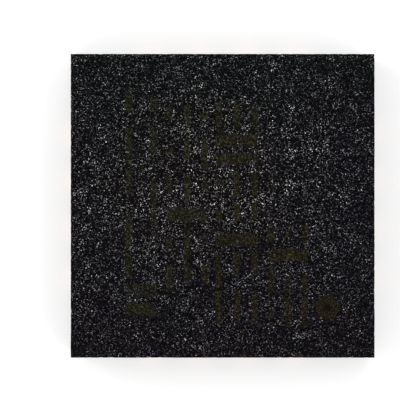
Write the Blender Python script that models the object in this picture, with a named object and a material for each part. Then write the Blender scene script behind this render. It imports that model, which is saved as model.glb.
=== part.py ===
"""A sixteen-terminal quad flat no-lead (QFN) chip, 4 mm square and 0.9 mm high.

It is built up as the real package is: an etched copper lead frame, a silicon die
glued to the frame's paddle, gold wires from the die to the leads, and black mould
compound that fills everything round them and is sawn square.

The origin is at the package's centre on the seating plane, with +Z towards the
marked face. Sizes are in metres. Terminals count anticlockwise seen from above, and
terminal 1 is the first on the +X side from the -Y corner, beside the round mark.
"""

import math

import bmesh
import bpy
from mathutils import Matrix, Vector

# Package outline
BODY_SIDE = 0.004
BODY_TOP = 0.0009  # marked face above the seating plane
STANDOFF = 0.00002  # the lands stand out of the moulded underside by this much

# Lead frame, etched from one strip of copper alloy
FRAME_THICKNESS = 0.000203
ETCH_GAP = 0.00018  # least gap between any two parts of the frame
LEAD_PITCH = 0.00065
LAND_WIDTH = 0.00033
LAND_LENGTH = 0.0005  # from the sawn side to the round inner end
LAND_EDGE = 0.00001  # a land's lower edge is rounded, drawn here as a chamfer
FINGER_OVERHANG = 0.00012  # the bonding finger reaches past the land's inner end
FINGER_LIP = 0.00004  # and stands out at each side of it
FINGER_NECK = 0.0001  # the finger keeps the land's width this far in from the saw cut

# Die paddle, with the thermal land below and a tie bar to each corner
PADDLE_FLANGE = 0.00015  # half-etched rim round the thermal land
TERMINAL_1_CUT = 0.0003  # the thermal land's corner cut that points to terminal 1
TIE_BAR_WIDTH = 0.00015

# Silicon die and the adhesive under it
PADDLE_RIM = 0.00033  # bare metal left round the adhesive
DIE_THICKNESS = 0.0002
GLUE_LINE = 0.00002
FILLET_FOOT = 0.00007  # how far the adhesive spreads past the die at the paddle
FILLET_RIDGE = 0.00002  # and at the top of its slope
FILLET_CLIMB = 0.00008
BOND_PAD_MARGIN = 0.00001  # opening of a bond pad round the ball on it
BOND_PAD_DEPTH = 0.000005
BOND_PAD_INSET = 0.0001  # from the die's edge to the row of pad centres

# Gold bond wires
WIRE_DIAMETER = 0.000025
BALL_DIAMETER = 0.00007
BALL_HEIGHT = 0.00002
LOOP_HEIGHT = 0.00015  # top of the wire's loop above the die
LOOP_BEND = 0.00006  # radius of the loop's bend over the ball
STITCH_SETBACK = 0.0001  # from the finger's tip to the stitch
STITCH_LENGTH = 0.00005
STITCH_THICKNESS = 0.00001
STITCH_WIDTH = 0.00004

# Round mark at terminal 1
MARK_DIAMETER = 0.0003
MARK_DEPTH = 0.00001
MARK_FROM_EAST = 0.00062  # from the +X side to the mark's centre
MARK_FROM_SOUTH = 0.00066

# Modelling allowances
SEAM = 0.000005  # gap left between neighbouring pieces
OVERRUN = 0.0001  # how far a cutter runs past what it cuts
WELD = 0.00000001
ARC_STEPS = 12  # facets in a land's half-round end
LOOP_STEPS = 4

FINGER_WIDTH = LAND_WIDTH + 2 * FINGER_LIP
FINGER_TIP = BODY_SIDE / 2 - LAND_LENGTH - FINGER_OVERHANG
HALF_ETCH = FRAME_THICKNESS / 2
FLANGE_SIDE = 2 * (FINGER_TIP - ETCH_GAP)
THERMAL_LAND = FLANGE_SIDE - 2 * PADDLE_FLANGE
DIE_SIDE = FLANGE_SIDE - 2 * (PADDLE_RIM + FILLET_FOOT)
DIE_FLOOR = FRAME_THICKNESS + GLUE_LINE
DIE_TOP = DIE_FLOOR + DIE_THICKNESS

SIDES = 4
CORNER_ROOM = BODY_SIDE / 2 - FINGER_TIP + ETCH_GAP + FINGER_WIDTH / 2
LEADS_PER_SIDE = 1 + int((BODY_SIDE - 2 * CORNER_ROOM) / LEAD_PITCH)

# name: base colour, roughness, metallic
FINISHES = {
    "mould_compound": ((0.008, 0.008, 0.012, 1), 0.6, 0.0),
    "tinned_copper": ((0.45, 0.45, 0.43, 1), 0.45, 1.0),
    "silver_epoxy": ((0.45, 0.44, 0.42, 1), 0.6, 0.3),
    "silicon": ((0.10, 0.11, 0.13, 1), 0.2, 0.6),
    "gold": ((0.90, 0.62, 0.22, 1), 0.25, 1.0),
}


def clear_scene():
    for obj in list(bpy.data.objects):
        bpy.data.objects.remove(obj)


def new_collection(name):
    collection = bpy.data.collections.new(name)
    bpy.context.scene.collection.children.link(collection)
    return collection


def new_material(name):
    colour, roughness, metallic = FINISHES[name]
    material = bpy.data.materials.new(name)
    material.use_nodes = True
    shader = material.node_tree.nodes["Principled BSDF"]
    shader.inputs["Base Color"].default_value = colour
    shader.inputs["Roughness"].default_value = roughness
    shader.inputs["Metallic"].default_value = metallic
    material.diffuse_color = colour
    return material


def loose_object(name, data):
    obj = bpy.data.objects.new(name, data)
    bpy.context.scene.collection.objects.link(obj)
    return obj


def applied_mesh(obj):
    """The object's mesh with its curve settings or modifiers applied and its seams welded."""
    bpy.context.view_layer.update()
    graph = bpy.context.evaluated_depsgraph_get()
    mesh = bpy.data.meshes.new_from_object(obj.evaluated_get(graph))
    mesh.transform(obj.matrix_world)
    shape = bmesh.new()
    shape.from_mesh(mesh)
    bmesh.ops.remove_doubles(shape, verts=shape.verts, dist=WELD)
    bmesh.ops.recalc_face_normals(shape, faces=shape.faces)
    shape.to_mesh(mesh)
    shape.free()
    return mesh


def take_mesh(solid):
    mesh = solid.data
    bpy.data.objects.remove(solid)
    return mesh


def plate(outline, low, high):
    """A flat plate with a closed outline in X and Y, between two heights."""
    sketch = bpy.data.curves.new("outline", "CURVE")
    sketch.dimensions = "2D"
    sketch.fill_mode = "BOTH"
    sketch.extrude = (high - low) / 2
    spline = sketch.splines.new("POLY")
    spline.points.add(len(outline) - 1)
    for point, place in zip(spline.points, outline):
        point.co = (*place, 0, 1)
    spline.use_cyclic_u = True
    curve = loose_object("outline", sketch)
    curve.location.z = (low + high) / 2
    solid = loose_object("plate", applied_mesh(curve))
    bpy.data.objects.remove(curve)
    return solid


def combine(solid, operation, *others):
    """Joins, cuts or trims a solid with others, which are used up."""
    for other in others:
        boolean = solid.modifiers.new("boolean", "BOOLEAN")
        boolean.operation = operation
        boolean.object = other
    solid.data = applied_mesh(solid)
    solid.modifiers.clear()
    for other in others:
        bpy.data.objects.remove(other)
    return solid


def square(side):
    half = side / 2
    return [(half, half), (-half, half), (-half, -half), (half, -half)]


def square_block(side, low, high):
    return plate(square(side), low, high)


def tongue(width, tip, root):
    """The outline of a bar that runs along X from root to a half-round end at tip."""
    radius = width / 2
    points = [(root, -radius), (root, radius)]
    for step in range(ARC_STEPS + 1):
        turn = math.pi / 2 + math.pi * step / ARC_STEPS
        points.append((tip + radius + radius * math.cos(turn), radius * math.sin(turn)))
    return points


def chamfer_lower_edge(solid, size):
    shape = bmesh.new()
    shape.from_mesh(solid.data)
    lowest = min(vert.co.z for vert in shape.verts)
    foot = [edge for edge in shape.edges if all(v.co.z < lowest + WELD for v in edge.verts)]
    rim = [edge for edge in foot if edge.calc_face_angle(0) > math.radians(45)]
    bmesh.ops.bevel(
        shape, geom=rim, offset=size, affect="EDGES", segments=1, profile=0.5, material=-1
    )
    shape.to_mesh(solid.data)
    shape.free()


def trim_to_saw_cuts(solid):
    combine(solid, "INTERSECT", square_block(BODY_SIDE, -OVERRUN, BODY_TOP))


def lead_mesh(grow=0.0):
    """The lead at the middle of the +X side: a land with a half-etched finger over it.

    grow moves every face out, for the cavity that a lead fills in the mould compound.
    """
    past_saw = BODY_SIDE / 2 + OVERRUN
    land_tip = BODY_SIDE / 2 - LAND_LENGTH
    finger_low = HALF_ETCH - grow
    finger_high = FRAME_THICKNESS + grow
    inside_finger = (finger_low + finger_high) / 2
    land_outline = tongue(LAND_WIDTH + 2 * grow, land_tip - grow, past_saw)
    finger_outline = tongue(
        FINGER_WIDTH + 2 * grow, FINGER_TIP - grow, BODY_SIDE / 2 - FINGER_NECK + grow
    )
    lead = plate(land_outline, -grow, inside_finger)
    if not grow:
        chamfer_lower_edge(lead, LAND_EDGE)
    neck = plate(land_outline, finger_low, finger_high)
    finger = plate(finger_outline, finger_low, finger_high)
    combine(lead, "UNION", neck, finger)
    if not grow:
        trim_to_saw_cuts(lead)
    return take_mesh(lead)


def tie_bar(width, low, high, quarter_turns):
    """A bar across the package from corner to corner; two of them make the four tie bars."""
    outline = [(BODY_SIDE, width / 2), (-BODY_SIDE, width / 2)]
    outline += [(-BODY_SIDE, -width / 2), (BODY_SIDE, -width / 2)]
    bar = plate(outline, low, high)
    bar.data.transform(Matrix.Rotation((quarter_turns + 0.5) * math.pi / 2, 4, "Z"))
    return bar


def paddle_mesh(grow=0.0):
    """The die paddle: thermal land, half-etched flange and tie bars, all in one piece."""
    flange_low = HALF_ETCH - grow
    flange_high = FRAME_THICKNESS + grow
    half = THERMAL_LAND / 2 + grow
    inner = half - TERMINAL_1_CUT
    land_outline = [(half, half), (-half, half), (-half, -half), (inner, -half), (half, -inner)]
    paddle = plate(land_outline, -grow, (flange_low + flange_high) / 2)
    if not grow:
        chamfer_lower_edge(paddle, LAND_EDGE)
    flange = square_block(FLANGE_SIDE + 2 * grow, flange_low, flange_high)
    bars = [tie_bar(TIE_BAR_WIDTH + 2 * grow, flange_low, flange_high, turn) for turn in (0, 1)]
    combine(paddle, "UNION", flange, *bars)
    if not grow:
        trim_to_saw_cuts(paddle)
    return take_mesh(paddle)


def adhesive_mesh(grow=0.0):
    """The die adhesive: a thin bed under the die and a fillet that slopes up its sides."""
    low = FRAME_THICKNESS + SEAM - grow
    high = FRAME_THICKNESS + FILLET_CLIMB + grow
    lean = (FILLET_FOOT - FILLET_RIDGE) / (FILLET_CLIMB - SEAM)
    core = DIE_SIDE / 2 + grow * (1 + lean)
    shape = bmesh.new()
    bmesh.ops.create_cone(
        shape,
        cap_ends=True,
        segments=4,
        radius1=math.sqrt(2) * (core + FILLET_FOOT),
        radius2=math.sqrt(2) * (core + FILLET_RIDGE),
        depth=high - low,
        matrix=Matrix.Translation((0, 0, (low + high) / 2)) @ Matrix.Rotation(math.pi / 4, 4, "Z"),
    )
    mesh = bpy.data.meshes.new("adhesive")
    shape.to_mesh(mesh)
    shape.free()
    adhesive = loose_object("adhesive", mesh)
    if not grow:
        seat = square_block(DIE_SIDE + 2 * SEAM, DIE_FLOOR, BODY_TOP)
        combine(adhesive, "DIFFERENCE", seat)
    return take_mesh(adhesive)


def lead_offset(index):
    """How far a lead lies along its side from the side's middle."""
    return (index - (LEADS_PER_SIDE - 1) / 2) * LEAD_PITCH


def bond_pad_place(index):
    """The centre of the bond pad on the die that serves a lead of the +X side."""
    spacing = (DIE_SIDE - 2 * BOND_PAD_INSET) / LEADS_PER_SIDE
    return Vector((DIE_SIDE / 2 - BOND_PAD_INSET, (index - (LEADS_PER_SIDE - 1) / 2) * spacing, 0))


def side_turn(side):
    """Turns what is drawn at the +X side to another side, anticlockwise from above."""
    return Matrix.Rotation(side * math.pi / 2, 4, "Z")


def die_mesh():
    """The silicon die, with a shallow opening over each bond pad."""
    openings = []
    for side in range(SIDES):
        for index in range(LEADS_PER_SIDE):
            opening = square_block(
                BALL_DIAMETER + 2 * BOND_PAD_MARGIN, DIE_TOP - BOND_PAD_DEPTH, DIE_TOP + OVERRUN
            )
            place = Matrix.Translation(bond_pad_place(index))
            opening.data.transform(side_turn(side) @ place)
            openings.append(opening)
    die = square_block(DIE_SIDE, DIE_FLOOR + SEAM, DIE_TOP)
    return take_mesh(combine(die, "DIFFERENCE", *openings))


def wire_ends(index):
    """A bond wire's ball on the die, its stitch on the finger, and the level way between."""
    ball = bond_pad_place(index)
    ball.z = DIE_TOP - BOND_PAD_DEPTH + SEAM
    stitch = Vector((FINGER_TIP + STITCH_SETBACK, lead_offset(index), FRAME_THICKNESS + SEAM))
    along = (stitch - ball).to_2d().normalized().to_3d()
    return ball, stitch, along


def wire_route(index, grow):
    """(place, radius) along a bond wire of the +X side, from its ball to its stitch."""
    ball, stitch, along = wire_ends(index)
    up = Vector((0, 0, 1))
    wire = WIRE_DIAMETER / 2
    flat = STITCH_WIDTH / 2
    shoulder = BALL_DIAMETER / 2
    route = [
        (ball - grow * up, 0.75 * shoulder),
        (ball + 0.3 * BALL_HEIGHT * up, shoulder),
        (ball + 0.7 * BALL_HEIGHT * up, shoulder),
        (ball + BALL_HEIGHT * up, 0.6 * shoulder),
    ]
    # The wire rises straight off the ball, bends over, and falls in half a parabola.
    crown = ball + LOOP_BEND * along
    crown.z = DIE_TOP + LOOP_HEIGHT - wire
    for turn in (0, math.pi / 4, math.pi / 2):
        back_and_down = (1 - math.sin(turn)) * up + math.cos(turn) * along
        route.append((crown - LOOP_BEND * back_and_down, wire))
    heel = stitch + wire * up
    for step in range(1, LOOP_STEPS + 1):
        share = step / LOOP_STEPS
        place = crown.lerp(heel, share)
        place.z = crown.z + (heel.z - crown.z) * share**2
        route.append((place, wire))
    toe = stitch + STITCH_THICKNESS / 2 * up
    route.append((toe + 0.4 * STITCH_LENGTH * along, flat))
    route.append((toe + (STITCH_LENGTH + grow) * along, flat))
    return [(place, radius + grow) for place, radius in route]


def wire_curve(index, grow):
    sketch = bpy.data.curves.new("bond_wire", "CURVE")
    sketch.dimensions = "3D"
    sketch.bevel_depth = WIRE_DIAMETER / 2
    sketch.bevel_resolution = 2
    sketch.use_fill_caps = True
    route = wire_route(index, grow)
    spline = sketch.splines.new("POLY")
    spline.points.add(len(route) - 1)
    for point, (place, radius) in zip(spline.points, route):
        point.co = (*place, 1)
        point.radius = radius / sketch.bevel_depth
    return sketch


def press_stitch(mesh, index, grow):
    """Flattens the wire's end against the finger, as the bonding tool does."""
    _, stitch, along = wire_ends(index)
    middle = stitch.z + STITCH_THICKNESS / 2
    squash = (STITCH_THICKNESS / 2 + grow) / (STITCH_WIDTH / 2 + grow)
    for vert in mesh.vertices:
        past_heel = (vert.co - stitch).dot(along)
        if past_heel > 0.2 * STITCH_LENGTH:
            vert.co.z = middle + (vert.co.z - middle) * squash


def wire_mesh(index, grow=0.0):
    """A bond wire of the +X side: ball, loop and stitch."""
    curve = loose_object("bond_wire", wire_curve(index, grow))
    mesh = applied_mesh(curve)
    bpy.data.objects.remove(curve)
    press_stitch(mesh, index, grow)
    return mesh


def mark_mesh():
    """The cutter of the shallow round mark beside terminal 1."""
    low = BODY_TOP - MARK_DEPTH
    high = BODY_TOP + OVERRUN
    centre_x = BODY_SIDE / 2 - MARK_FROM_EAST
    centre_y = MARK_FROM_SOUTH - BODY_SIDE / 2
    shape = bmesh.new()
    bmesh.ops.create_cone(
        shape,
        cap_ends=True,
        segments=4 * ARC_STEPS,
        radius1=MARK_DIAMETER / 2,
        radius2=MARK_DIAMETER / 2,
        depth=high - low,
        matrix=Matrix.Translation((centre_x, centre_y, (low + high) / 2)),
    )
    mesh = bpy.data.meshes.new("terminal_1_mark")
    shape.to_mesh(mesh)
    shape.free()
    return mesh


class Package:
    """The finished pieces and the cavities that they fill, on one empty at the origin."""

    def __init__(self):
        self.pieces = new_collection("qfn_chip")
        self.cavities = new_collection("mould_cavities")
        self.materials = {name: new_material(name) for name in FINISHES}
        self.seating_plane = bpy.data.objects.new("seating_plane", None)
        self.pieces.objects.link(self.seating_plane)

    def place(self, name, mesh, collection, side, offset):
        obj = bpy.data.objects.new(name, mesh)
        collection.objects.link(obj)
        obj.parent = self.seating_plane
        obj.rotation_euler.z = side * math.pi / 2
        obj.location = side_turn(side) @ Vector((0, offset, 0))
        return obj

    def add_piece(self, name, mesh, finish, side=0, offset=0.0):
        if not mesh.materials:
            mesh.materials.append(self.materials[finish])
            mesh.shade_smooth()
            mesh.set_sharp_from_angle(angle=math.radians(35))
        return self.place(name, mesh, self.pieces, side, offset)

    def add_cavity(self, name, mesh, side=0, offset=0.0):
        cavity = self.place(f"{name}_cavity", mesh, self.cavities, side, offset)
        cavity.hide_render = True
        cavity.display_type = "WIRE"


def terminals():
    """(terminal number, side, index on that side), anticlockwise from terminal 1."""
    for number in range(SIDES * LEADS_PER_SIDE):
        yield number + 1, number // LEADS_PER_SIDE, number % LEADS_PER_SIDE


def add_lead_frame(package):
    lead, cavity = lead_mesh(), lead_mesh(grow=SEAM)
    for number, side, index in terminals():
        name = f"lead_{number:02d}"
        package.add_piece(name, lead, "tinned_copper", side, lead_offset(index))
        package.add_cavity(name, cavity, side, lead_offset(index))
    package.add_piece("die_paddle", paddle_mesh(), "tinned_copper")
    package.add_cavity("die_paddle", paddle_mesh(grow=SEAM))


def add_die(package):
    package.add_piece("die_attach", adhesive_mesh(), "silver_epoxy")
    package.add_cavity("die_attach", adhesive_mesh(grow=SEAM))
    package.add_piece("silicon_die", die_mesh(), "silicon")
    room = square_block(DIE_SIDE + 2 * SEAM, DIE_FLOOR, DIE_TOP + SEAM)
    package.add_cavity("silicon_die", take_mesh(room))


def add_bond_wires(package):
    wires = [(wire_mesh(index), wire_mesh(index, grow=SEAM)) for index in range(LEADS_PER_SIDE)]
    for number, side, index in terminals():
        wire, cavity = wires[index]
        name = f"bond_wire_{number:02d}"
        package.add_piece(name, wire, "gold", side)
        package.add_cavity(name, cavity, side)


def add_mould_body(package):
    """The compound is a sawn block less the cavity of every piece that it holds."""
    package.add_cavity("terminal_1_mark", mark_mesh())
    block = take_mesh(square_block(BODY_SIDE, STANDOFF, BODY_TOP))
    body = package.add_piece("mould_body", block, "mould_compound")
    fill = body.modifiers.new("fill_round_frame_die_and_wires", "BOOLEAN")
    fill.operation = "DIFFERENCE"
    fill.operand_type = "COLLECTION"
    fill.collection = package.cavities


def main():
    clear_scene()
    package = Package()
    add_lead_frame(package)
    add_die(package)
    add_bond_wires(package)
    add_mould_body(package)


main()
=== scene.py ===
"""The finish of a sixteen-terminal no-lead chip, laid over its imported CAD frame.

The chip lies on its lands with the marked face up. Lengths in the script are in
millimetres where a name ends in _MM or a pattern is drawn, and in metres elsewhere.
"""

import math
import random

import bmesh
import bpy
from mathutils import Matrix, Vector, noise


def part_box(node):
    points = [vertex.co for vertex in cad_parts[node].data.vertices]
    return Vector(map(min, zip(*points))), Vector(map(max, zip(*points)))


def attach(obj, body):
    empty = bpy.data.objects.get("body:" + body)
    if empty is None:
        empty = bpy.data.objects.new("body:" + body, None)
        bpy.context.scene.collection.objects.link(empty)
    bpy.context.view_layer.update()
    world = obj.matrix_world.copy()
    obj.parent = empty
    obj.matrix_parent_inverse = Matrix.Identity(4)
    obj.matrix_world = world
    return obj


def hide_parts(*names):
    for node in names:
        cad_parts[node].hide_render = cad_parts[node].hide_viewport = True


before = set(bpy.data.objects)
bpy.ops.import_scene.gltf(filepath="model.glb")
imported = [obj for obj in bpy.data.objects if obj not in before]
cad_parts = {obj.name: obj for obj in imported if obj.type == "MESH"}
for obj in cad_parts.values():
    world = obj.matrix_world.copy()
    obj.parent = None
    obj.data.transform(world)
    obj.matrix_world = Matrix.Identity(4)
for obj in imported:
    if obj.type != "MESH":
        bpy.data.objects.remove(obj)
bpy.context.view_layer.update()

# Leads. Each is etched from copper strip, and its land is plated with matte tin after
# moulding. The saw then bares copper at its end, and the pins of a test socket have
# pressed flat marks into the tin.
MM = 0.001
low_corner, high_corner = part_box("mould_body")
HALF_SIDE_MM = high_corner.x / MM
UNDERSIDE_MM = low_corner.z / MM
LEAD_TOP_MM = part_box("lead_01")[1].z / MM
LAND_PITCH_MM = 0.65
PLATING_MM = 0.01
SILVERED_MM = (0.36, 0.38)  # from the sawn end to the silver under the wire's stitch
NEAR_FACE_MM = (0.003, 0.001)  # a face's own finish fades in between these distances
CRYSTALS_PER_MM = 118
CRUST_MM = 0.005
# Painted shade and painted glints of the tin's crystals, also used round and on the socket's flats
TIN_SHADED = (0.01, 0.01, 0.01)
TIN_SMOOTHED = (0.52, 0.515, 0.485)
TIN_GLINT = (1.0, 0.985, 0.93)
COPPER = (0.62, 0.30, 0.17)
COPPER_DULL = (0.30, 0.14, 0.08)
SILVER = (0.80, 0.79, 0.76)
# Flats from a socket's pin: their ends across the land, then inward from its sawn end
CLEAR_FLAT_MM = (0.015, 0.105), (0.035, 0.15)
WEAK_FLAT_MM = (-0.075, -0.01), (0.045, 0.14)
FAINT_FLAT_MM = (0.0, 0.095), (0.2, 0.3)
# the outer edge of the painted shade round the flats
SHADED_RIM_MM = (-0.087, 0.118), (0.022, 0.163)
FLAT_EDGE_MM = 0.006
FLAT_WANDER_MM = 0.04


class Value:
    """A number, vector or colour among the nodes, with arithmetic written on it."""

    def __init__(self, nodes, socket):
        self.nodes = nodes
        self.socket = socket

    def math(self, operation, *numbers):
        return self.nodes.node("ShaderNodeMath", dict(enumerate(numbers)), operation=operation)

    def __add__(self, other):
        return self.math("ADD", self, other)

    __radd__ = __add__

    def __sub__(self, other):
        return self.math("SUBTRACT", self, other)

    def __rsub__(self, other):
        return self.math("SUBTRACT", other, self)

    def __mul__(self, other):
        return self.math("MULTIPLY", self, other)

    __rmul__ = __mul__

    def __truediv__(self, other):
        return self.math("DIVIDE", self, other)

    def __pow__(self, other):
        return self.math("POWER", self, other)

    def __abs__(self):
        return self.math("ABSOLUTE", self)

    def exp(self):
        return self.math("EXPONENT", self)

    def fraction(self):
        return self.math("FRACT", self)

    def larger(self, other):
        return self.math("MAXIMUM", self, other)

    def step(self, low, high):
        """Rises smoothly from 0 at low to 1 at high, or falls if low is the higher."""
        sockets = {"Value": self, "From Min": low, "From Max": high}
        return self.nodes.node("ShaderNodeMapRange", sockets, interpolation_type="SMOOTHSTEP")

    def also(self, name):
        """Another output of the node that this value comes from."""
        return Value(self.nodes, self.socket.node.outputs[name])


class Nodes:
    """The nodes of one material or of the world."""

    def __init__(self, owner):
        owner.use_nodes = True
        self.tree = owner.node_tree

    def node(self, kind, sockets=None, output=0, **settings):
        made = self.tree.nodes.new(kind)
        for name, setting in settings.items():
            setattr(made, name, setting)
        for name, value in (sockets or {}).items():
            self.feed(made.inputs[name], value)
        return Value(self, made.outputs[output])

    def feed(self, socket, value):
        if isinstance(value, Value):
            self.tree.links.new(value.socket, socket)
        elif socket.type == "RGBA":
            socket.default_value = (*value, 1.0)
        else:
            socket.default_value = value


class Paint(Nodes):
    """A finish: one Principled material, whose patterns are drawn in millimetres."""

    def __init__(self, name, fixed=None):
        self.material = bpy.data.materials.new(name)
        super().__init__(self.material)
        self.shader = self.tree.nodes["Principled BSDF"]
        for socket, value in (fixed or {}).items():
            self.set(socket, value)
        metres = self.node("ShaderNodeTexCoord").also("Object")
        self.place = self.node(
            "ShaderNodeVectorMath", {0: metres, 1: (1 / MM,) * 3}, operation="MULTIPLY"
        )
        self.x = self.node("ShaderNodeSeparateXYZ", {0: self.place})
        self.y = self.x.also("Y")
        self.z = self.x.also("Z")

    def reach(self):
        """How far out from the middle of the chip, towards its nearest side."""
        return abs(self.x).larger(abs(self.y))

    def mix(self, share, first, second):
        sockets = {0: share, 6: first, 7: second}
        return self.node("ShaderNodeMix", sockets, output=2, data_type="RGBA")

    def shade(self, colour, strength):
        return self.node("ShaderNodeVectorMath", {0: colour, "Scale": strength}, operation="SCALE")

    def sum(self, first, second):
        return self.node("ShaderNodeVectorMath", {0: first, 1: second}, operation="ADD")

    def grain(self, per_mm, detail=2.0, roughness=0.5, shift=0.0, stretch=(1, 1, 1)):
        """A cloud pattern between 0 and 1, about as fine as per_mm spots to a millimetre."""
        sockets = {"Vector": self.place, "Location": (shift, shift, shift), "Scale": stretch}
        place = self.node("ShaderNodeMapping", sockets)
        sockets = {"Vector": place, "Scale": per_mm, "Detail": detail, "Roughness": roughness}
        return self.node("ShaderNodeTexNoise", sockets)

    def cells(self, per_mm, randomness=1.0, **settings):
        """One number between 0 and 1 for each cell, about per_mm cells to a millimetre."""
        sockets = {"Vector": self.place, "Scale": per_mm, "Randomness": randomness}
        colour = self.node("ShaderNodeTexVoronoi", sockets, output="Color", **settings)
        return self.node("ShaderNodeSeparateXYZ", {0: colour})

    def relief(self, height, depth_mm):
        """Turns a height between 0 and 1 into bumps of that depth."""
        sockets = {"Height": height, "Strength": 1.0, "Distance": depth_mm * MM}
        self.set("Normal", self.node("ShaderNodeBump", sockets))

    def set(self, name, value):
        self.feed(self.shader.inputs[name], value)


def dress(node, paint):
    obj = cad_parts[node]
    obj.data.materials.clear()
    obj.data.materials.append(paint.material)


def box_mask(across, along, across_mm, along_mm):
    """1 inside a rectangle given as (low, high) both ways, with a soft edge."""
    mask = across.step(across_mm[0] - FLAT_EDGE_MM, across_mm[0] + FLAT_EDGE_MM)
    mask = mask * across.step(across_mm[1] + FLAT_EDGE_MM, across_mm[1] - FLAT_EDGE_MM)
    mask = mask * along.step(along_mm[0] - FLAT_EDGE_MM, along_mm[0] + FLAT_EDGE_MM)
    return mask * along.step(along_mm[1] + FLAT_EDGE_MM, along_mm[1] - FLAT_EDGE_MM)


def tin_plate(paint):
    """Matte tin: a crust of crystals, each of which sends back its own share of the light, painted
    into the colour as glints and shade.
    """
    glint = paint.cells(CRYSTALS_PER_MM).step(0.56, 0.88)
    return paint.mix(glint, TIN_SHADED, TIN_GLINT), paint.grain(60, detail=3.0)


def sawn_copper(paint):
    """Copper as a dicing blade leaves it, with fine level scratches."""
    scratches = paint.grain(9, detail=3.0, roughness=0.7, shift=1.7, stretch=(1, 1, 12))
    return paint.mix(scratches.step(0.35, 0.68), COPPER_DULL, COPPER), scratches


def with_socket_marks(paint, tin, inward):
    """The tin with a socket pin's flats: a clear one, a weak one beside it, a faint one inside;
    painted shade round them and a painted highlight on the clear one.
    """
    on_y_side = (abs(paint.y) - abs(paint.x)).step(0, 0.01)
    along = on_y_side * paint.x + (1 - on_y_side) * paint.y
    across = ((along / LAND_PITCH_MM).fraction() - 0.5) * LAND_PITCH_MM
    across = across + FLAT_WANDER_MM * (paint.grain(18, shift=2.3) - 0.5)
    depth = inward + FLAT_WANDER_MM * (paint.grain(14, shift=6.1) - 0.5)
    scored = paint.grain(70, shift=3.3).step(0.4, 0.6)
    clear = box_mask(across, depth, *CLEAR_FLAT_MM)
    weak = box_mask(across, depth, *WEAK_FLAT_MM)
    faint = box_mask(across, depth, *FAINT_FLAT_MM)
    rim = box_mask(across, depth, *SHADED_RIM_MM)
    # Painted shade round the flats; the clear flat gets a painted highlight.
    tin = paint.mix(0.6 * rim, tin, TIN_SHADED)
    tin = paint.mix((0.75 * weak).larger(0.55 * faint), tin, TIN_SMOOTHED)
    return paint.mix(clear * (0.45 + 0.55 * scored), tin, TIN_GLINT), clear


def lead_finish():
    paint = Paint("tinned_lead", {"Metallic": 1.0})
    inward = HALF_SIDE_MM - paint.reach()
    tin, crust = tin_plate(paint)
    copper, scratches = sawn_copper(paint)
    tin, pressed = with_socket_marks(paint, tin, inward)
    sawn = inward.step(*NEAR_FACE_MM)
    tinned_up_to = UNDERSIDE_MM - sawn * (UNDERSIDE_MM - PLATING_MM)
    plated = (paint.z - tinned_up_to).step(*NEAR_FACE_MM)
    silvered = (LEAD_TOP_MM - paint.z).step(*NEAR_FACE_MM) * inward.step(*SILVERED_MM)
    paint.set("Base Color", paint.mix(plated, paint.mix(silvered, copper, SILVER), tin))
    paint.set("Roughness", 0.34 + 0.25 * crust - 0.15 * pressed)
    paint.relief(crust * (1 - pressed) * plated + 0.4 * scratches * (1 - plated), CRUST_MM)
    return paint


tinned_lead = lead_finish()
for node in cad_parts:
    if node.startswith("lead_"):
        dress(node, tinned_lead)

# Die paddle. The middle of the same copper strip: its underside is the tinned thermal
# land, its tie bars end in bare copper at the corners, and the rest is inside the
# compound.
def paddle_finish():
    paint = Paint("tinned_paddle", {"Metallic": 1.0})
    sawn = (HALF_SIDE_MM - paint.reach()).step(*NEAR_FACE_MM)
    tin, crust = tin_plate(paint)
    copper, scratches = sawn_copper(paint)
    plated = (paint.z - UNDERSIDE_MM).step(*NEAR_FACE_MM) * (1 - sawn)
    paint.set("Base Color", paint.mix(plated, copper, tin))
    paint.set("Roughness", 0.36 + 0.25 * crust)
    paint.relief(crust * plated + 0.4 * scratches * (1 - plated), CRUST_MM)
    return paint


dress("die_paddle", paddle_finish())

# Die attach. Epoxy filled with silver flakes, dispensed on the paddle and squeezed up
# round the die, then cured.
FLAKES_PER_MM = 70
FLAKE_MM = 0.004
GLUE = (0.32, 0.31, 0.29)
GLUE_SILVER = (0.75, 0.74, 0.70)


def adhesive_finish():
    paint = Paint("silver_filled_epoxy")
    density = paint.grain(FLAKES_PER_MM)
    flakes = density.step(0.45, 0.65)
    paint.set("Base Color", paint.mix(flakes, GLUE, GLUE_SILVER))
    paint.set("Metallic", 0.6 * flakes)
    paint.set("Roughness", 0.7 - 0.3 * density)
    paint.relief(density, FLAKE_MM)
    return paint


dress("die_attach", adhesive_finish())

# Silicon die. A diced piece of polished wafer: blocks of circuit under a clear glassy
# layer, aluminium bond pads in shallow openings, and sawn grey sides.
die_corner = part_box("silicon_die")[1]
DIE_HALF_SIDE_MM = die_corner.x / MM
DIE_TOP_MM = die_corner.z / MM
PAD_DEPTH_MM = 0.005
BLOCKS_PER_MM = 5
TRACKS_PER_MM = 22
CIRCUIT_BLUE = (0.10, 0.13, 0.17)
CIRCUIT_BROWN = (0.22, 0.20, 0.14)
TRACK = (0.32, 0.34, 0.30)
SILICON_DARK = (0.10, 0.10, 0.11)
SILICON_PALE = (0.22, 0.22, 0.23)
ALUMINIUM = (0.85, 0.85, 0.86)


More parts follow.
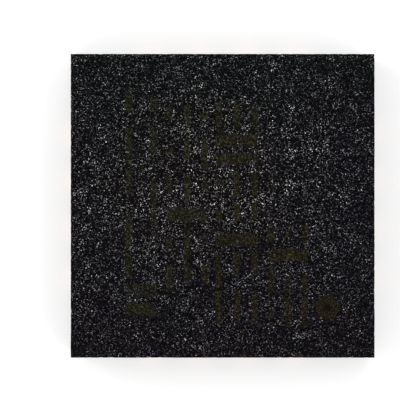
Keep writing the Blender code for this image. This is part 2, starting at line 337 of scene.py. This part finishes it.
def die_finish():
    paint = Paint("circuit_silicon")
    block = paint.cells(BLOCKS_PER_MM, randomness=0.9, distance="CHEBYCHEV")
    tracks = paint.node("ShaderNodeTexWave", {"Vector": paint.place, "Scale": TRACKS_PER_MM})
    circuit = paint.mix(block, CIRCUIT_BLUE, CIRCUIT_BROWN)
    circuit = paint.mix(0.25 * tracks.also("Fac"), circuit, TRACK)
    on_top = (DIE_TOP_MM - paint.z).step(0.002, 0.001)
    on_side = (DIE_HALF_SIDE_MM - paint.reach()).step(0.002, 0.001)
    in_pad = (DIE_TOP_MM - PAD_DEPTH_MM - paint.z).step(*NEAR_FACE_MM)
    in_pad = in_pad * (1 - on_top) * (1 - on_side)
    side = paint.mix(paint.grain(30, detail=3.0, stretch=(1, 1, 4)), SILICON_DARK, SILICON_PALE)
    colour = paint.mix(on_top, side, circuit)
    paint.set("Base Color", paint.mix(in_pad, colour, ALUMINIUM))
    paint.set("Metallic", 0.5 + 0.5 * in_pad)
    paint.set("Roughness", 0.5 - 0.35 * on_top)
    return paint


dress("silicon_die", die_finish())

# Bond wires. Drawn gold wire, melted to a ball that is pressed on the die's pad, looped
# over, and cut off by the tool that stitches it to the lead's finger.
GOLD_SHADED = (0.80, 0.50, 0.15)
GOLD = (0.98, 0.74, 0.33)


def wire_finish():
    paint = Paint("drawn_gold", {"Metallic": 1.0})
    # Lines along the wire from its drawing, in gold painted as lit and shaded
    drawn_lines_and_shade = paint.grain(90, stretch=(0.3, 0.3, 1))
    paint.set("Base Color", paint.mix(drawn_lines_and_shade, GOLD_SHADED, GOLD))
    paint.set("Roughness", 0.18 + 0.2 * drawn_lines_and_shade)
    return paint


drawn_gold = wire_finish()
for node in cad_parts:
    if node.startswith("bond_wire_"):
        dress(node, drawn_gold)

# Mould body. Black epoxy full of fused silica, pressed round the frame in a mould whose
# spark-eroded face leaves a grain on top, with painted glints, and sawn square. A laser
# has burnt the surface of the top in dashes and blocks, and in a round mark at terminal 1.
TOP_MM = high_corner.z / MM
GRID_CELLS = 250
WALL_ROWS = 12
BLOCK_SPARE_MM = 0.1  # how far the rough block reaches under the chip, to be trimmed off
AT_FACE_MM = 0.0001  # a point of the rough block this near a face lies on it
MERGE_DISTANCE = 1e-7  # joins the corners of the CAD mesh's loose triangles
TOP_INSET_MM = 0.003  # how far the highest grains stay under the CAD top
GRAIN_MM = 0.009
GRAINS_PER_MM = 33
SAW_INSET_MM = 0.001
SAW_LINE_MM = 0.002
SAW_LINES_PER_MM = 60
SAW_FADES_PER_MM = 3
EDGE_CHIP_MM = 0.007
EDGE_CHIPS_PER_MM = 14
CHIPPED_MM = 0.1  # how far down from the top edges the chips reach
BURN_MM = 0.004
BURN_EDGE_MM = 0.016
FRAY_MM = 0.022
FRAYS_PER_MM = 38
MELTED = 0.6  # share of the grain that a burn takes away
BURNT_ZONE_MM = 0.05  # any burn lies less than this under the CAD top
DOT_BURN_MM = 0.011
DOT_CENTRE_MM = (1.38, -1.34)
DOT_RADIUS_MM = 0.16
DOT_ZONE_MM = (0.22, 0.2)  # radii between which the dot's darker, unbroken burn begins
DOT_PIT_MM = 0.045  # radius of the deep spot where the laser started the dot
STROKE_MM = 0.075
BLOCK_MM = 0.16
BLOCK_SHARE = 0.3  # of the rows of marks, and the others are dashes
ROW_MM = (0.3, 0.5)  # shortest and longest row of dashes
LATE_STARTS = (0, 0, 0.3, 0.5)  # shares of its row by which a dash may start late
EARLY_STOPS = (0, 0, 0.3)  # and stop early
MARK_GAP_MM = 0.085
# Each column of marks: its ends along X, then along Y, and how many dashes stand abreast
MARK_COLUMNS = [
    (-1.27, -0.87, -1.44, 1.56, 2),
    (-0.74, -0.20, -1.13, 1.34, 3),
    (-0.09, 0.46, -1.55, 1.56, 3),
    (0.60, 1.12, -1.59, -0.26, 3),
]
# Colours of the grained face, as tints of its grey, and of the burns in it
MIDDLE_TINT = (1.23, 0.93, 1.08)
RIM_TINT = (0.96, 0.86, 1.42)
FRONT_TINT = (1.13, 0.83, 1.35)
BACK_TINT = (0.82, 1.10, 1.22)
SILICA_AND_GLINT = (1, 0.99, 1.01)
# the silica's curls, with their glints painted in
SCORCH_OLIVE = (0.0120, 0.0125, 0.0069)
SCORCH_BROWN = (0.0122, 0.0101, 0.0056)
SCORCH_DEEP = (0.0055, 0.0025, 0.0008)
# Colours of the sawn sides and of the moulded underside
SAWN_DARK = (0.008, 0.008, 0.009)
SAWN_PALE = (0.05, 0.05, 0.052)
CUT_SILICA = (0.16, 0.16, 0.165)
UNDERSIDE_BLACK = (0.0004, 0.0003, 0.0009)
UNDERSIDE_DUST = (0.008, 0.008, 0.009)


def laser_marks():
    """(low x, high x, low y, high y) of each mark: rows of uneven dashes, and plain blocks."""
    pick = random.Random(4)
    for left, right, y, end, abreast in MARK_COLUMNS:
        while y < end - BLOCK_MM:
            if pick.random() < BLOCK_SHARE:
                stop = y + BLOCK_MM
                yield left, right, y, stop
            else:
                stop = min(y + pick.uniform(*ROW_MM), end)
                for dash in range(abreast):
                    x = left + dash * (right - left - STROKE_MM) / (abreast - 1)
                    low = y + pick.choice(LATE_STARTS) * (stop - y)
                    high = stop - pick.choice(EARLY_STOPS) * (stop - y)
                    yield x, x + STROKE_MM, low, max(high, low + STROKE_MM)
            y = stop + MARK_GAP_MM


MARKS = list(laser_marks())


def cloud(x, y, per_mm, shift=0):
    """A smooth pattern about 0, about as fine as per_mm spots to a millimetre."""
    return noise.noise(Vector((x * per_mm, y * per_mm, shift)))


def burnt(x, y):
    """How deep the laser went in a place on top, as shares of a mark and of the dot."""
    frayed = FRAY_MM * cloud(x, y, FRAYS_PER_MM, shift=5)
    in_mark = -BURN_EDGE_MM
    for left, right, start, stop in MARKS:
        if left - BURN_EDGE_MM < x < right + BURN_EDGE_MM:
            in_mark = max(in_mark, min(x - left, right - x, y - start, stop - y))
    in_dot = DOT_RADIUS_MM - math.hypot(x - DOT_CENTRE_MM[0], y - DOT_CENTRE_MM[1])
    return [
        min(1, max(0, 0.5 + (inside + frayed) / BURN_EDGE_MM)) for inside in (in_mark, in_dot)
    ]


def rough_block():
    """A closed block as big as the compound, with a finely divided top and rows of walls."""
    block = bmesh.new()
    lift = Matrix.Translation((0, 0, TOP_MM))
    bmesh.ops.create_grid(
        block, x_segments=GRID_CELLS, y_segments=GRID_CELLS, size=HALF_SIDE_MM, matrix=lift
    )
    rim = [edge for edge in block.edges if edge.is_boundary]
    drop = (TOP_MM + BLOCK_SPARE_MM) / WALL_ROWS
    for _ in range(WALL_ROWS):
        walls = bmesh.ops.extrude_edge_only(block, edges=rim)["geom"]
        low_verts = [part for part in walls if isinstance(part, bmesh.types.BMVert)]
        bmesh.ops.translate(block, verts=low_verts, vec=(0, 0, -drop))
        rim = [part for part in walls if isinstance(part, bmesh.types.BMEdge) and part.is_boundary]
    bmesh.ops.contextual_create(block, geom=rim)
    bmesh.ops.recalc_face_normals(block, faces=block.faces)
    return block


def grained_height(x, y):
    """Where the top lies, with its grain and the laser's burns sunk into it."""
    mark, dot = burnt(x, y)
    grain = (0.5 + cloud(x, y, GRAINS_PER_MM)) * (1 - MELTED * mark) * (1 - MELTED * dot)
    return TOP_MM - TOP_INSET_MM - GRAIN_MM * grain - BURN_MM * mark - DOT_BURN_MM * dot


def sawn_off(x, y, z):
    """How far the saw went past the CAD side, with its level lines and the chips on top."""
    line = Vector((x * SAW_FADES_PER_MM, y * SAW_FADES_PER_MM, z * SAW_LINES_PER_MM))
    chip = max(0, cloud(x, y, EDGE_CHIPS_PER_MM, shift=8)) if z > TOP_MM - CHIPPED_MM else 0
    return SAW_INSET_MM + SAW_LINE_MM * (0.5 + noise.noise(line)) + EDGE_CHIP_MM * chip


def roughen(block):
    """Sinks the top to its grain and burns, and the sides to their saw lines and chips."""
    for vert in block.verts:
        x, y, z = vert.co
        if z > TOP_MM - AT_FACE_MM:
            vert.co.z = grained_height(x, y)
        for axis, reach in enumerate((x, y)):
            if abs(reach) > HALF_SIDE_MM - AT_FACE_MM:
                vert.co[axis] = reach - math.copysign(sawn_off(x, y, z), reach)


def add_object(name, data):
    obj = bpy.data.objects.new(name, data)
    bpy.context.scene.collection.objects.link(obj)
    return obj


def add_solid(name, solid):
    mesh = bpy.data.meshes.new(name)
    solid.to_mesh(mesh)
    solid.free()
    return add_object(name, mesh)


def compound_mesh():
    """The rough block less the cavities of the pieces that the CAD body holds."""
    block = rough_block()
    roughen(block)
    bmesh.ops.scale(block, verts=block.verts, vec=(MM, MM, MM))
    rough = add_solid("rough_block", block)
    body = bmesh.new()
    body.from_mesh(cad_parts["mould_body"].data)
    bmesh.ops.remove_doubles(body, verts=body.verts, dist=MERGE_DISTANCE)
    moulded = add_solid("moulded_body", body)
    trim = rough.modifiers.new("keep_inside_body", "BOOLEAN")
    trim.operation = "INTERSECT"
    trim.object = moulded
    graph = bpy.context.evaluated_depsgraph_get()
    trimmed = bpy.data.meshes.new_from_object(rough.evaluated_get(graph))
    bpy.data.objects.remove(rough)
    bpy.data.objects.remove(moulded)
    return trimmed


def store_burns(mesh):
    """Notes how far each point of the top is burnt, for the compound's colour."""
    burn = mesh.attributes.new("burn", "FLOAT", "POINT")
    for vert in mesh.vertices:
        x, y, z = vert.co / MM
        if z > TOP_MM - BURNT_ZONE_MM:
            burn.data[vert.index].value = max(burnt(x, y))


def face_with_painted_glints(paint):
    """A dark skin under short bright curls of silica, whose glints are painted in, brighter
    towards the middle.

    The skin is warm in the middle, violet round it and in front, and teal at the back.
    """
    stray = 1.6 * (paint.grain(1.4, detail=3.0, shift=4.4) - 0.5)
    outward = ((paint.x + 0.3) ** 2 + (paint.y - 0.3) ** 2) ** 0.5
    tint = paint.mix((outward + stray).step(0.6, 1.8), MIDDLE_TINT, RIM_TINT)
    tint = paint.mix((stray - paint.y).step(0.6, 1.8), tint, FRONT_TINT)
    tint = paint.mix((stray + paint.y).step(0.8, 1.7), tint, BACK_TINT)
    skin = (7.5 * (paint.grain(27, detail=3.0, roughness=0.68) - 0.5) - 5.9).exp()
    patch = paint.grain(6.9, shift=3.7) - 0.5
    wide = paint.grain(0.7, shift=8.2) - 0.5
    # Painted glints on the silica: curls, broken up, brighter towards the middle of the face
    curl = abs(paint.grain(23.7, detail=1.3, roughness=0.6, shift=5.0) - 0.5).step(0.035, 0)
    broken = paint.grain(53, detail=1.0, shift=7.3).step(0.44, 0.69)
    glow = 12 * (paint.grain(110, detail=3.0, roughness=0.7, shift=1.3) - 0.5)
    glow = (glow + 4.3 * patch + 1.5 * wide - 0.45 * outward - 0.68).exp()
    return paint.sum(paint.shade(tint, skin), paint.shade(SILICA_AND_GLINT, curl * broken * glow))


def scorched_face(paint, off_centre):
    """The laser's burns: olive at one side of the face, browner at the other and in the dot."""
    stray = 1.8 * (paint.grain(3, shift=9.0) - 0.5)
    browned = (paint.x - 0.5 * paint.y + stray).step(-1.6, 0.8)
    scorch = paint.mix(browned, SCORCH_OLIVE, SCORCH_BROWN)
    scorch = paint.shade(scorch, (9.5 * (paint.grain(60, detail=3.0, shift=6.0) - 0.5)).exp())
    scorch = paint.shade(scorch, 1 - 0.1 * off_centre.step(*DOT_ZONE_MM))
    pit = off_centre.step(1.5 * DOT_PIT_MM, 0.5 * DOT_PIT_MM)
    return paint.mix(0.85 * pit, scorch, SCORCH_DEEP)


def grained_top():
    paint = Paint("grained_compound", {"Specular IOR Level": 0.02, "Roughness": 0.6})
    burn = paint.node("ShaderNodeAttribute", output="Fac", attribute_name="burn")
    off_centre = ((paint.x - DOT_CENTRE_MM[0]) ** 2 + (paint.y - DOT_CENTRE_MM[1]) ** 2) ** 0.5
    spared = paint.grain(6, detail=3.0, shift=2.9).step(0.52, 0.64)
    spared = 0.6 * spared * (1 - off_centre.step(*DOT_ZONE_MM))
    burn = burn * (1 - spared)
    paint.set("Base Color", paint.mix(burn, face_with_painted_glints(paint), scorched_face(paint, off_centre)))
    return paint


def sawn_side():
    paint = Paint("sawn_compound", {"Specular IOR Level": 0.1, "Roughness": 0.65})
    streaks = paint.grain(10, detail=4.0, roughness=0.7, stretch=(1, 1, 9)).step(0.45, 0.8)
    silica = paint.grain(55, detail=1.0, shift=5.2).step(0.60, 0.75)
    cut = paint.mix(streaks, SAWN_DARK, SAWN_PALE)
    paint.set("Base Color", paint.mix(0.5 * silica, cut, CUT_SILICA))
    return paint


def moulded_underside():
    paint = Paint("moulded_compound", {"Specular IOR Level": 0.02, "Roughness": 0.35})
    dust = paint.grain(28, shift=1.1).step(0.68, 0.8)
    paint.set("Base Color", paint.mix(dust, UNDERSIDE_BLACK, UNDERSIDE_DUST))
    return paint


compound = add_object("marked_mould", compound_mesh())
store_burns(compound.data)
for finish in (grained_top(), sawn_side(), moulded_underside()):
    compound.data.materials.append(finish.material)
for face in compound.data.polygons:
    face.material_index = 0 if face.normal.z > 0.5 else 2 if face.normal.z < -0.5 else 1
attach(compound, "root")
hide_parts("mould_body")

# Studio. A pale table top with a window under the chip, so that its lands can be looked
# at from below, in a white room with three soft lamps.
FLOOR_SIZE = 0.4
FLOOR_RIM_MM = 0.04  # how far the table reaches under the chip's edges
FLOOR_DROP_MM = 0.001  # from the lands down to the table
FLOOR_WHITE = (0.82, 0.82, 0.82)
FLOOR_GLOW = 0.38  # added where the floor is seen, to make it white and keep the shadow
ROOM_LIGHT = 0.7  # of the white that the camera sees, so that colours render as written
LAMP_SIZE = 0.08


def lamp(name, place, power):
    light = bpy.data.lights.new(name, "AREA")
    light.shape = "DISK"
    light.size = LAMP_SIZE
    light.energy = power
    obj = add_object(name, light)
    obj.location = place
    obj.rotation_euler = (-Vector(place)).to_track_quat("-Z", "Y").to_euler()


lamp("left_lamp", (-0.10, 0.03, 0.10), 0.05)
lamp("right_lamp", (0.09, -0.06, 0.12), 0.035)
lamp("back_lamp", (0.02, 0.12, 0.09), 0.025)


def seen(nodes):
    """1 to the camera, also by reflection and through glass, and 0 to all other light."""
    path = nodes.node("ShaderNodeLightPath", output="Is Camera Ray")
    return path.larger(path.also("Is Glossy Ray")).larger(path.also("Is Transmission Ray"))


def table_finish():
    paint = Paint("white_table", {"Roughness": 0.9, "Specular IOR Level": 0.0})
    paint.set("Base Color", FLOOR_WHITE)
    paint.set("Emission Strength", FLOOR_GLOW)
    paint.set("Emission Color", paint.shade((1, 1, 1), seen(paint)))
    return paint


def table_solid():
    """A flat square with a square window in its middle."""
    floor = bmesh.new()
    drop = Matrix.Translation((0, 0, -FLOOR_DROP_MM * MM))
    bmesh.ops.create_grid(floor, x_segments=1, y_segments=1, size=FLOOR_SIZE / 2, matrix=drop)
    rim_width = FLOOR_SIZE / 2 - (HALF_SIDE_MM - FLOOR_RIM_MM) * MM
    bmesh.ops.inset_region(
        floor, faces=floor.faces, thickness=rim_width, use_boundary=True, use_even_offset=True
    )
    window = min(floor.faces, key=lambda face: face.calc_area())
    bmesh.ops.delete(floor, geom=[window], context="FACES_ONLY")
    return floor


table = add_solid("table_top", table_solid())
table.data.materials.append(table_finish().material)

world = bpy.data.worlds.new("white_room")
bpy.context.scene.world = world
room = Nodes(world)
background = room.tree.nodes["Background"].inputs
room.feed(background["Color"], (1, 1, 1))
room.feed(background["Strength"], ROOM_LIGHT + (1 - ROOM_LIGHT) * seen(room))

# Camera. A long lens straight above the marked face, as far off its middle as in the
# photograph.
LENS_MM = 200.0
SENSOR_MM = 36.0
PHOTO_WIDTH_PX = 400
FACE_WIDTH_PX = 304.2  # the marked face in the photograph
FACE_CENTRE_PX = (222.65, 205.8)
CLIP_RATIO = 100  # the clip planes lie at this share and this multiple of the distance

px_per_mm = FACE_WIDTH_PX / (2 * HALF_SIDE_MM)
view_width = PHOTO_WIDTH_PX / px_per_mm * MM
distance = view_width * LENS_MM / SENSOR_MM
lens = bpy.data.cameras.new("camera")
lens.lens = LENS_MM
lens.sensor_width = SENSOR_MM
lens.clip_start = distance / CLIP_RATIO
lens.clip_end = distance * CLIP_RATIO
camera = add_object("camera", lens)
camera.location = (
    (PHOTO_WIDTH_PX / 2 - FACE_CENTRE_PX[0]) / px_per_mm * MM,
    (FACE_CENTRE_PX[1] - PHOTO_WIDTH_PX / 2) / px_per_mm * MM,
    high_corner.z + distance,
)
bpy.context.scene.camera = camera
bpy.context.scene.view_settings.view_transform = "Standard"
